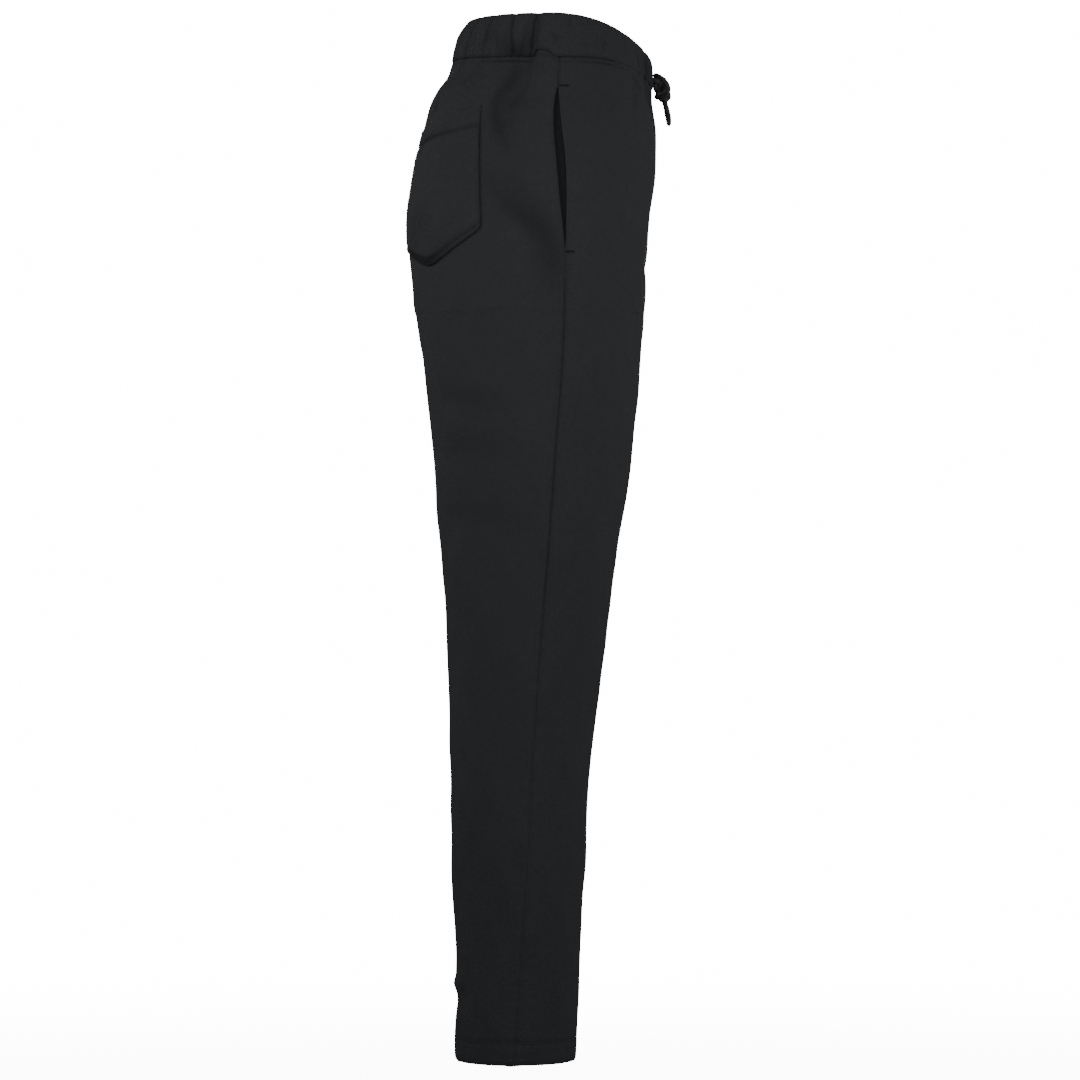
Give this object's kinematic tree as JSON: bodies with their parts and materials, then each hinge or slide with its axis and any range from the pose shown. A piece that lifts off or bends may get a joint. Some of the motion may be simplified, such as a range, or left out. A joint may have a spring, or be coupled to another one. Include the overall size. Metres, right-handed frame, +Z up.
{
  "type": "jogger sweatpants",
  "caption": "Straight tapered sweatpants with a gathered elastic waistband, tied drawcord, side seam pockets, a pointed patch pocket at the back and plain turned hems.",
  "frame": {"origin": "middle of the waist at the waistband's height, where the wearer's waist holds the trousers up", "axes": "+Z up along the legs, the front faces -Y, the wearer's right side is -X"},
  "size_m": [0.3962, 0.2625, 1.0212],
  "materials": {
    "fleece": "matte brushed fleece, near black charcoal",
    "pocketing": "matte plain knit, black",
    "drawcord": "matte round braid, black"
  },
  "bodies": {
    "root": {"front_right": "fleece", "front_left": "fleece", "back_right": "fleece", "back_left": "fleece", "waistband": "fleece", "back_pocket": "fleece", "pocket_bag_right": "pocketing", "pocket_bag_left": "pocketing", "drawcord_feed_right": "drawcord", "drawcord_feed_left": "drawcord", "drawcord_loop_right": "drawcord", "drawcord_loop_left": "drawcord", "drawcord_tail_right": "drawcord", "drawcord_tail_left": "drawcord", "drawcord_tip_right": "drawcord", "drawcord_tip_left": "drawcord", "drawcord_knot": "drawcord"}
  },
  "joints": []
}
